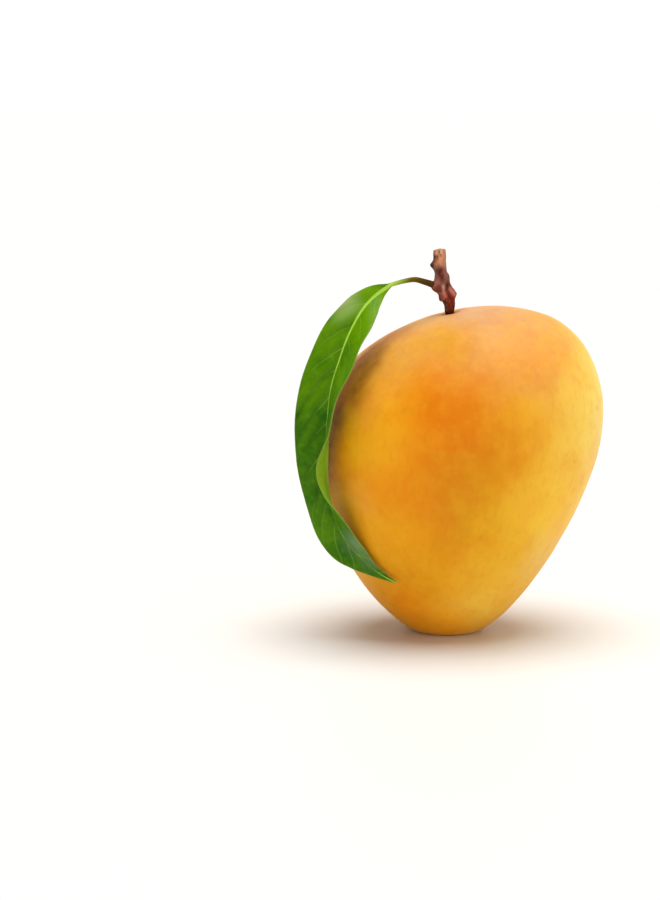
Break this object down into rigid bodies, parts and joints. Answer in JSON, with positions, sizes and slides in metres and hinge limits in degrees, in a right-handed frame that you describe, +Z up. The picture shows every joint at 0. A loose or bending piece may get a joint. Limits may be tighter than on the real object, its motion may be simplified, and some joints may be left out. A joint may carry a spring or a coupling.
{
  "type": "mango",
  "caption": "Ripe mango standing on a small flat spot at its narrow end, with its woody stalk and a drooping folded leaf.",
  "frame": {"origin": "centre of the small flat spot that the fruit rests on", "axes": "+Z up, from the narrow end to the stalk; +X across the broad cheek, towards the full shoulder and away from the leaf; the cheek that the picture shows looks along -Y"},
  "size_m": [0.0891, 0.0689, 0.1115],
  "materials": {
    "skin": "satin",
    "bark": "matte",
    "leaf": "satin"
  },
  "bodies": {
    "root": {"fruit": "skin", "stem": "bark", "leaf": "leaf"}
  },
  "joints": []
}
